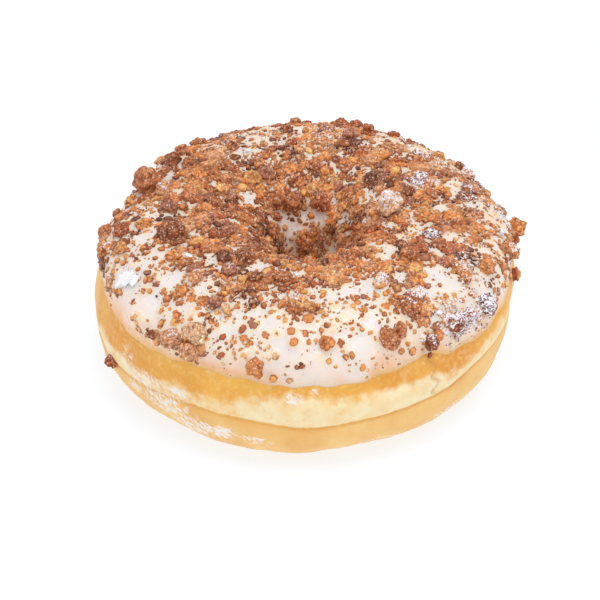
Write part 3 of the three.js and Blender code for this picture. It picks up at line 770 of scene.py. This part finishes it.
# bearing, tilt and size in millimetres of the patches of crumble that lie lower down
PATCHES = (
    (37, 57, 3.4), (35, 48, 4), (36, 40, 3.2), (36, 33, 2.2), (43, 40, 4.2), (46, 33, 4), (48, 26, 2.2),
    (41, 30, 2.2), (44, 52, 2.4), (52, 32, 2.6), (70, 38, 3.2), (67, 46, 2.6), (80, 60, 3.2), (76, 32, 2.4),
    (82, 40, 3.4), (86, 48, 3.6), (80, 53, 3), (94, 40, 3.4), (38, 55, 5), (34, 47, 3), (41, 46, 6.5),
    (47, 37, 7.5), (54, 33, 5), (37, 38, 3), (45, 27, 2.6), (47, 54, 2.6), (62, 52, 2.6), (84, 52, 3.6),
    (78, 44, 3.6), (74, 38, 2.6), (-32, 56, 2.8), (-28, 53, 2.6), (-25, 61, 2.4), (-33, 49, 2), (27, 60, 2),
    (18, 63, 1.8), (11, 56, 2), (-62, 38, 1.8), (-68, 37, 2.6), (-76, 41, 3.6), (-88, 40, 4.6),
    (-80, 40, 3.8), (-76, 36, 2.4), (-86, 56, 2.6), (-74, 52, 3.8), (-67, 55, 3), (-60, 58, 1.6),
    (18, 112, 3.6), (10, 109, 3.4), (25, 112, 3.4), (3, 106, 3), (-55, 72, 2.4), (-50, 66, 2.2),
    (-97, 48, 2.4), (-41, 56, 2.6), (-35, 60, 2.6), (-30, 66, 3), (-22, 70, 2.8), (-36, 34, 4.2),
    (-30, 38, 3.8), (-43, 31, 2.2), (-38, 46, 2), (88, 40, 4),
)
# bearing, tilt and reach in millimetres of the places where the crust is thin, and the share it lacks there
THIN_CRUSTS = (
    (-158, 78, 9), (-112, 48, 8), (-103, 60, 6), (-168, 66, 12), (150, 64, 9), (136, 60, 9), (122, 54, 8),
    (92, 52, 7),
)
THINNED = 0.7
# tilts between which crumble is strewn, and how many places are drawn for each crumb that is kept
STREWN_TILTS = (20, 195)
DRAWN_FOR_EACH = 14
LIGHT_TO_DARK = (
    "pale", "golden", "tan", "golden", "orange", "tan", "orange", "orange", "brown", "mauve", "red",
    "umber", "dark",
)
# bearing, tilt, reach in millimetres and strength of the places where sugar dusts the crumble
DUSTINGS = (
    (44, 38, 5.5, 0.75), (57, 36, 5, 0.8), (52, 50, 4, 0.5), (62, 58, 3, 0.6), (98, 60, 5, 0.35),
    (110, 45, 5, 0.5), (96, 42, 4, 0.7), (115, 88, 3, 0.5), (-150, 85, 6, 0.35), (-158, 72, 5, 0.35),
    (170, 78, 6, 0.3), (-4, 76, 2, 0.6), (130, 60, 6, 0.4), (-88, 44, 3, 0.3), (48, 30, 5, 0.8),
    (51, 36, 5, 0.75),
)
BED_CRUMBS = 2800
BED_COLUMNS, BED_ROWS = 1000, 168
BED_TILTS = (28, 190)
BED_SMALLEST, BED_MORE = 0.0005, 0.0013
BED_FLATNESS = 0.62
BED_WARP = 0.0004
# where the bed has no crumb it lies half a millimetre under the icing
BED_UNDER = -0.0005
# height, wavelength and seed of the fine relief, and of the painted shade drawn from the same waves
BED_RELIEF = ((0.00007, 0.0011, 68), (0.00007, 0.0008, 69))
BED_RELIEF_SHADE = ((0.1, 0.0011, 68), (0.1, 0.0008, 69))


def nearness(point, places, spread=0.7):
    """How near a point is to the nearest of some places, 1 to 0: the highest of the bells round them, as
    wide as spread times a place's size, and times its strength where it has one."""
    bells = []
    for bearing, tilt, size, *strength in places:
        away = np.linalg.norm(point - ring_point(bearing, tilt, 0), axis=-1)
        bells.append(bell(away, spread * size / 1000) * (strength[0] if strength else 1))
    return np.max(bells, axis=0)


def density(bearing, tilt):
    """How thickly crumble lies, 0 to 1: a smooth climb round the line of half cover, less down the hole,
    more and less in clusters by a ripple, more in the patches, and nothing on the gaps."""
    point = ring_point(bearing, tilt, 0)
    half = line_round(bearing, HALF_COVER, 8)
    cover = rise(tilt, half - 24, half + 20) * (1 - 0.5 * rise(tilt, 165, 200))
    cover = cover + 0.22 * ripple(point, 0.007, 61) * rise(tilt, half - 35, half - 10)
    cover = np.maximum(cover, 0.95 * nearness(point, PATCHES))
    return np.clip(cover * (1 - nearness(point, GAPS)) ** 1.5, 0, 1)


def dusting(bearing, tilt):
    """How much sugar dusts the crumble at a place, 0 to 1."""
    return nearness(ring_point(bearing, tilt, 0), DUSTINGS, 1)


def strewn(number, least, most, crowded, rng):
    """Bearings and tilts drawn evenly over the icing and kept by the crumble's density, spread over least
    to most, less a share where it is crowded, times the ring's girth there, as a degree of bearing is
    shorter near the hole."""
    drawn = DRAWN_FOR_EACH * number
    bearing = rng.uniform(-180, 180, drawn)
    tilt = rng.uniform(*STREWN_TILTS, drawn)
    point = ring_point(bearing, tilt, 0)
    thick = density(bearing, tilt)
    clustered = 0.12 * ripple(point, 0.006, 60) * (crowded > 0)
    chance = rise(thick + clustered, least, most) * (1 - crowded * rise(thick, 0.5, 0.95))
    chance = chance * rise(tilt - icing_edge(bearing), 1, 8) * girth(point)
    kept = rng.random(drawn) < chance
    return bearing[kept][:number], tilt[kept][:number]


def mixed_tones(point, shift, rng):
    """A colour for each crumb from the light to the dark tones: near ones are alike by a slow ripple, and
    each has its own chance and shade."""
    place_in = 0.48 + shift + 0.16 * ripple(point, 0.007, 64) + 0.17 * rng.normal(size=len(point))
    tones = np.array([TONES[tone] for tone in LIGHT_TO_DARK])
    chosen = tones[np.clip((place_in * len(tones)).astype(int), 0, len(tones) - 1)]
    return chosen * rng.lognormal(0, 0.14, (len(point), 1))


def sectors(columns, bearing, margin, number=40):
    """For each of a number of sectors round the ring: the grid's columns in it, and which of the places
    at some bearings lie within margin degrees of it."""
    for k in range(number):
        away = np.abs(half_turn(bearing + 180 - 360 / number * (k + 0.5)))
        yield slice(k * columns // number, (k + 1) * columns // number), away < 180 / number + margin


rng = np.random.default_rng(35)
bed_at, bed_up = strewn(BED_CRUMBS, 0.45, 0.85, 0, rng)
bed_middle = ring_point(bed_at, bed_up, 0)
bed_radius = BED_SMALLEST + BED_MORE * rng.random(len(bed_at)) ** 1.6
bed_seat = 0.0003 * rng.random(len(bed_at)) + 0.0004 * rise(ripple(bed_middle, 0.007, 63), -0.3, 1.3)
bed_tone = mixed_tones(bed_middle, 0.06, rng)
bed_bearing, bed_tilt = grid_round(BED_COLUMNS, np.linspace(*BED_TILTS, BED_ROWS))
bed_points = ring_point(bed_bearing, bed_tilt, 0)
thickness = 1 - THINNED * nearness(bed_points, THIN_CRUSTS)
in_gap = nearness(bed_points, GAPS) + 0.1 * ripple(bed_points, 0.0016, 62) > 0.4
warp = np.stack([ripple(bed_points, 0.0015, seed) for seed in (65, 66, 67)], -1)
warped = bed_points + BED_WARP * warp

# The highest crumb's dome at each point of the bed, with that crumb's tone.
bed_height = np.full(bed_bearing.shape, BED_UNDER)
bed_dome = np.zeros(bed_bearing.shape)
bed_colour = np.zeros(bed_bearing.shape + (3,))
for columns, near in sectors(BED_COLUMNS, bed_at, 9):
    away = np.linalg.norm(warped[:, columns, None] - bed_middle[near], axis=-1) / bed_radius[near]
    dome = np.sqrt(np.clip(1 - away**2.6, 0, 1))
    seat = bed_seat[near] * np.minimum(1, 3 * dome)
    height = np.where(away < 1, seat + BED_FLATNESS * bed_radius[near] * dome - 0.0001, -1)
    highest = height.argmax(-1)
    top = np.take_along_axis(height, highest[..., None], -1)[..., 0]
    bed_height[:, columns] = np.maximum(top, BED_UNDER)
    bed_dome[:, columns] = np.take_along_axis(dome, highest[..., None], -1)[..., 0]
    bed_colour[:, columns] = bed_tone[near][highest]
bed_height = np.where(in_gap, BED_UNDER, bed_height * thickness)
bed_out = icing_out(bed_bearing, bed_tilt) + bed_height
bed_out = bed_out + ripples(bed_points, BED_RELIEF) * (bed_height > 0)
bed_points = ring_point(bed_bearing, bed_tilt, bed_out)
# Painted shade: each dome darker towards its edge, where it meets the next, with finer painted shade from the
# relief's waves, redder where darker.
shades = 0.31 + 0.74 * bed_dome + ripples(bed_points, BED_RELIEF_SHADE)
bed_colour = np.clip(bed_colour * shades[..., None] ** REDDER_IN_SHADE, 0, LIGHTEST)
bed_sugar = dusting(bed_bearing, bed_tilt) * (0.5 + 0.5 * bed_dome)
bed_faces = ring_faces(BED_ROWS, BED_COLUMNS)[: (BED_ROWS - 1) * BED_COLUMNS]
bed_faces = bed_faces[(bed_height.ravel()[bed_faces] > 0).any(1)]
in_front = np.abs(bed_bearing.ravel()[bed_faces[:, 0]]) < 90
for name, chosen in (("crumble_bed_front", in_front), ("crumble_bed_back", ~in_front)):
    used, faces = np.unique(bed_faces[chosen], return_inverse=True)
    bed = make_piece(
        name, bed_points.reshape(-1, 3)[used], [faces.reshape(-1, 4)], baked.material,
        tone=bed_colour.reshape(-1, 3)[used], sugar=bed_sugar.ravel()[used],
    )
    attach(bed, "root")


# ---- Fine crumble ----
# What breaks off the clumps: bits, pieces, fines and dust, strewn by hand on the wet icing. They sink in
# and soak, so they are smooth and see-through, with painted light on top and painted shade round the rim.

# bearing and tilt of smooth amber pieces that the butter has soaked through
AMBER = (
    (-140, 113), (154, 124), (96, 93), (20, 105), (36, 85), (72, 110), (-130, 117), (128, 96), (-112, 95),
    (-18, 97),
)
AMBER_TONE = (0.88, 0.47, 0.19)
AMBER_SIZE, AMBER_LIFT = 0.0034, 0.0003


def make_bits(name, place, size, lift, own, flat, grid, seed, material):
    """Few-faced crumbs: balls roughened corner by corner, flattened and turned by chance. Each has one
    colour, with painted light on top and painted shade round its rim."""
    bearing, tilt = place
    rng = np.random.default_rng(seed)
    directions, faces = ball(*grid)
    number = len(size)
    corner = 1 if len(directions) < 20 else 0.35
    radius = 1 + corner * rng.uniform(-0.28, 0.28, (number, len(directions)))
    radius = radius + (lumpy(1.3 * directions, rng.uniform(0, 99, number)) - 1) * (1.6 - corner)
    squeeze = [np.ones(number), rng.uniform(0.5, 1, number), rng.uniform(*flat, number)]
    shapes = directions[None] * radius[..., None] * np.stack(squeeze, -1)[:, None] * size[:, None, None] / 2
    normal = straight_out(bearing, tilt)
    leaning = normal + rng.normal(0, 0.15, normal.shape)
    leaning /= np.linalg.norm(leaning, axis=1, keepdims=True)
    turned = stand(shapes, leaning, rng.uniform(0, 2 * np.pi, number))
    middle = ring_point(bearing, tilt, icing_out(bearing, tilt) + lift)
    grainy = rng.lognormal(0, 0.1, (number, len(directions), 1))
    # Painted light on top and painted shade round the rim, with the colour that butter gives.
    colour = np.clip(own[:, None] * grainy * painted_rim_shade(directions) * SOAKED, 0, LIGHTEST)
    sugar = np.repeat(dusting(bearing, tilt), len(directions))
    faces = copies(faces, number, len(directions))
    return make_piece(name, turned + middle[:, None], faces, material, tone=colour, sugar=sugar)


def strew(name, number, kept, sizes, tones, flat, grid, seed, rng, proud=0, raised=0, lowered=0, smaller=0):
    """A kind of loose crumble: its piece, and its crumbs' bearings, tilts and sizes. Kept is what strewn
    needs. A size is the smallest plus the most above it times a chance to a power, less where crumble is
    thin. A crumb stands proud by a share of its size, and where crumble is thick it is raised by chance,
    less on a thin crust. Tones are the shift where crumble is thin, and what thick crumble adds."""
    place = strewn(number, *kept, rng)
    point = ring_point(*place, 0)
    thick = density(*place)
    smallest, more, power = sizes
    size = smallest + more * rng.random(len(thick)) ** power * (1 - smaller * (1 - thick))
    lift = proud * size
    if raised:
        crusted = 1 - lowered * nearness(point, THIN_CRUSTS)
        lift = lift + raised * rise(thick, 0.5, 0.9) * rng.random(len(size)) * crusted
    own = mixed_tones(point, tones[0] + tones[1] * thick, rng)
    return make_bits(name, place, size, lift, own, flat, grid, seed, soaked.material), (*place, size)


rng = np.random.default_rng(41)
bits, bit_places = strew(
    "crumble_bits", 2400, (-0.08, 0.45, 0.5), (0.0008, 0.0018, 2), (-0.13, 0.29), (0.5, 0.85), (5, 8), 42,
    rng, raised=0.0005, lowered=THINNED, smaller=0.55,
)
pieces, piece_places = strew(
    "crumble_pieces", 460, (-0.08, 0.3, 1), (0.001, 0.001, 1.5), (-0.16, 0.2), (0.5, 0.8), (6, 10), 46,
    rng, proud=0.1,
)
fines, fine_places = strew(
    "crumble_fines", 3100, (-0.1, 0.5, 0.75), (0.0004, 0.0007, 1.5), (-0.12, 0.28), (0.5, 0.9), (2, 5), 43,
    rng, proud=0.05, raised=0.0008,
)
dust, _ = strew(
    "crumble_dust", 2800, (-0.1, 0.5, 0.9), (0.00018, 0.00024, 1), (0, 0), (0.6, 0.9), (1, 4), 44,
    rng, proud=0.2,
)
amber_size = np.full(len(AMBER), AMBER_SIZE)
amber_own = np.array(AMBER_TONE) * rng.lognormal(0, 0.1, (len(AMBER), 1))
amber = make_bits(
    "crumble_amber", np.array(AMBER, float).T, amber_size, AMBER_LIFT, amber_own, (0.35, 0.45), (9, 14), 45,
    soaked.material,
)
for piece in (bits, pieces, fines, dust, amber):
    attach(piece, "root")

# Butter from each crumb but dust stains the icing round it, more from a big one, and fades out with the
# distance from its rim. The icing has climbed up the crumb a little, by a bell over that distance.
STAIN_REACH, CLIMB_REACH = 0.0008, 0.0005
FULL_STAIN_SIZE = 0.0022
CLIMB_SHARE, CLIMB_MOST_SIZE = 0.16, 0.003
bed_places = (bed_at, bed_up, 2 * bed_radius)
halo_at, halo_up, halo_size = np.concatenate(
    [lump_rows[:3], spread_places, crumb_rows[:3], bed_places, bit_places, piece_places, fine_places], axis=1
)
halo_middle = ring_point(halo_at, halo_up, ICING_DEPTH)
smooth_face = ring_point(icing_bearing, icing_tilt, ICING_DEPTH)
stain = np.zeros((ICING_ROWS, ICING_COLUMNS))
climb = np.zeros((ICING_ROWS, ICING_COLUMNS))
for columns, near in sectors(ICING_COLUMNS, halo_at, 9):
    size = halo_size[near]
    away = np.linalg.norm(smooth_face[:, columns, None] - halo_middle[near], axis=-1) - 0.42 * size
    stains = np.clip(size / FULL_STAIN_SIZE, 0.15, 0.9) * (1 - rise(away, 0, STAIN_REACH))
    climbs = CLIMB_SHARE * np.clip(size, 0, CLIMB_MOST_SIZE) * bell(np.maximum(away, 0), CLIMB_REACH)
    stain[:, columns], climb[:, columns] = stains.max(-1), climbs.max(-1)
stain = np.concatenate([stain, stain[inner_rows]]).astype(np.float32)
icing.data.attributes["stain"].data.foreach_set("value", stain.ravel())
climbed = icing_out(icing_bearing, icing_tilt) + climb * rise(icing_tilt - first_tilt, 1, 5)
icing_points[:ICING_ROWS] = ring_point(icing_bearing, icing_tilt, climbed)
icing.data.vertices.foreach_set("co", icing_points.astype(np.float32).ravel())


# ---- Sugar and specks ----
# Icing sugar has caked on the icing in little white heaps with loose grains round them, and vanilla
# seeds show as black specks in the icing.

# bearing, tilt, width in millimetres and number of grains round it
SUGAR_HEAPS = (
    (-62, 46, 4.6, 60), (-59, 49, 3, 30), (-54, 82, 1.8, 20), (-36, 38, 1.2, 70), (-33, 36, 0.9, 40),
    (-4, 71, 2, 80), (36, 52, 2, 90), (149, 102, 1.6, 60), (90, 60, 1, 90), (88, 46, 1.6, 110),
    (90, 40, 1.2, 60), (60, 58, 1.6, 120), (-4, 98, 1.2, 10), (-160, 104, 1.2, 50), (41, 46, 1.2, 90),
    (61, 34, 1.2, 90), (48, 39, 0.8, 120), (115, 88, 1.2, 60), (-153, 88, 1, 60),
)
HEAP_FORM = (1, 0.75, 0.38)
HEAP_RIPPLES = ((0.14, 0.0017, 52), (0.09, 0.0007, 53))
HEAP_LIFT = 0.0004
HEAP_TURN = 67
# how far the loose grains lie from their heap, as a share of its width, and their smallest and biggest
GRAINS_SCATTER = 0.36
SUGAR_SIZES = (0.0002, 0.0006)
DEGREES_UP_PER_MM = 2.6
# bearing and tilt of the big specks
BIG_SPECKS = (
    (-120, 123), (-112, 118), (174, 144), (-177, 58), (-162, 143), (-50, 85), (-32, 78), (-30, 68),
    (-49, 50), (72, 97), (60, 103), (22, 52),
)
SPECKS = 130
SMALLEST_SPECK, SPECK, BIG_SPECK = 0.00018, 0.0004, 0.0007

caked = Finish("sugar", 0.4, 0.4, 0.0008)
colour = caked.mix(caked.noise(1500), (0.98, 0.98, 0.985), (0.92, 0.91, 0.95))
caked.coat(colour, caked.noise(2000), 0.4, 0.0002)
vanilla = Finish("vanilla_speck", 0.5, 0.0, 0.001)
vanilla.coat(vanilla.mix(vanilla.noise(2000), (0.02, 0.012, 0.01), (0.06, 0.03, 0.02)))

rng = np.random.default_rng(51)
heap_at, heap_up, heap_width, heap_grains = np.array(SUGAR_HEAPS, float).T
directions, faces = ball(22, 34)
heap_shapes = directions * heap_width[:, None, None] / 2000 * HEAP_FORM
for height, wavelength, seed in HEAP_RIPPLES:
    bumps = height * ripple(heap_shapes + heap_at[:, None, None], wavelength, seed)
    heap_shapes = heap_shapes * (1 + bumps)[..., None]
heap_turn = np.radians(HEAP_TURN * np.arange(len(heap_at)))
heap_middle = ring_point(heap_at, heap_up, icing_out(heap_at, heap_up) + HEAP_LIFT)
heap_points = stand(heap_shapes, straight_out(heap_at, heap_up), heap_turn) + heap_middle[:, None]
heaps = make_piece("sugar_heaps", heap_points, copies(faces, len(heap_at), len(directions)), caked.material)

heap = np.repeat(np.arange(len(heap_at)), heap_grains.astype(int))
from_axis = np.hypot(*ring_point(heap_at, heap_up, 0)[heap, :2].T)
sideways, upwards = (rng.normal(0, GRAINS_SCATTER, len(heap)) * heap_width[heap] for _ in range(2))
sugar_bearing = heap_at[heap] + np.degrees(sideways / 1000 / from_axis)
sugar_tilt = heap_up[heap] + upwards * DEGREES_UP_PER_MM
sugar_size = rng.uniform(*SUGAR_SIZES, len(heap))
sugar = make_bits(
    "sugar_grains", (sugar_bearing, sugar_tilt), sugar_size, rng.uniform(0, HEAP_LIFT, len(heap)),
    np.ones((len(heap), 3)), (0.6, 1), (1, 5), 52, caked.material,
)
big_bearing, big_tilt = np.array(BIG_SPECKS, float).T
speck_bearing = np.concatenate([rng.uniform(-180, 180, SPECKS), big_bearing])
speck_tilt = np.concatenate([rng.uniform(40, 170, SPECKS), big_tilt])
speck_size = np.concatenate([rng.uniform(SMALLEST_SPECK, SPECK, SPECKS), np.full(len(BIG_SPECKS), BIG_SPECK)])
specks = make_bits(
    "vanilla_specks", (speck_bearing, speck_tilt), speck_size, 0.1 * speck_size,
    np.ones((len(speck_size), 3)), (0.5, 0.9), (2, 5), 53, vanilla.material,
)
for piece in (heaps, sugar, specks):
    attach(piece, "root")


# ---- Floor, light and camera ----
# A plain white floor, lit from below as a light table is, in plain soft studio light: an even white
# surround with one broad lamp above. The camera is at the photograph's place, 35 degrees above the table.
FLOOR_HALF = 3
SURROUND_STRENGTH = 0.84
LAMP_PLACE = (0.14, -0.22, 0.94)
LAMP_TURN = (-13, 8, 0)
LAMP_SIZE = 0.7
LAMP_POWER = 3.6
CAMERA_HEIGHT_ANGLE = 35
CAMERA_DISTANCE = 0.6
CAMERA_LENS = 157.2
CAMERA_TARGET = (-0.00203, -0.00204, 0.01509)

floor_material = bpy.data.materials.new("floor")
floor_material.use_nodes = True
floor_shader = floor_material.node_tree.nodes["Principled BSDF"]
floor_shader.inputs["Base Color"].default_value = (0.28, 0.31, 0.35, 1)
floor_shader.inputs["Roughness"].default_value = 0.9
floor_shader.inputs["Specular IOR Level"].default_value = 0.0
floor_shader.inputs["Emission Color"].default_value = (0.97, 0.985, 1.0, 1)
floor_shader.inputs["Emission Strength"].default_value = 0.745
floor_corners = [(FLOOR_HALF * x, FLOOR_HALF * y, 0) for x, y in ((-1, -1), (1, -1), (1, 1), (-1, 1))]
floor_mesh = bpy.data.meshes.new("floor")
floor_mesh.from_pydata(floor_corners, [], [(0, 1, 2, 3)])
floor_mesh.materials.append(floor_material)
floor = bpy.data.objects.new("floor", floor_mesh)
bpy.context.scene.collection.objects.link(floor)

world = bpy.data.worlds.new("studio")
bpy.context.scene.world = world
world.use_nodes = True
surround = world.node_tree.nodes["Background"]
surround.inputs["Color"].default_value = (0.97, 0.97, 1.0, 1)
surround.inputs["Strength"].default_value = SURROUND_STRENGTH

lamp_data = bpy.data.lights.new("softbox", "AREA")
lamp_data.shape = "DISK"
lamp_data.size = LAMP_SIZE
lamp_data.energy = LAMP_POWER
lamp_data.color = (1.0, 0.985, 0.96)
lamp = bpy.data.objects.new("softbox", lamp_data)
lamp.location = LAMP_PLACE
lamp.rotation_euler = np.radians(LAMP_TURN)
bpy.context.scene.collection.objects.link(lamp)

camera_data = bpy.data.cameras.new("camera")
camera_data.lens = CAMERA_LENS
camera_data.sensor_width = 36
camera_data.clip_start = 0.01
camera = bpy.data.objects.new("camera", camera_data)
high = np.radians(CAMERA_HEIGHT_ANGLE)
camera.location = np.array(CAMERA_TARGET) + CAMERA_DISTANCE * np.array([0, -np.cos(high), np.sin(high)])
camera.rotation_euler = (np.pi / 2 - high, 0, 0)
bpy.context.scene.collection.objects.link(camera)
bpy.context.scene.camera = camera
bpy.context.scene.view_settings.view_transform = "Standard"
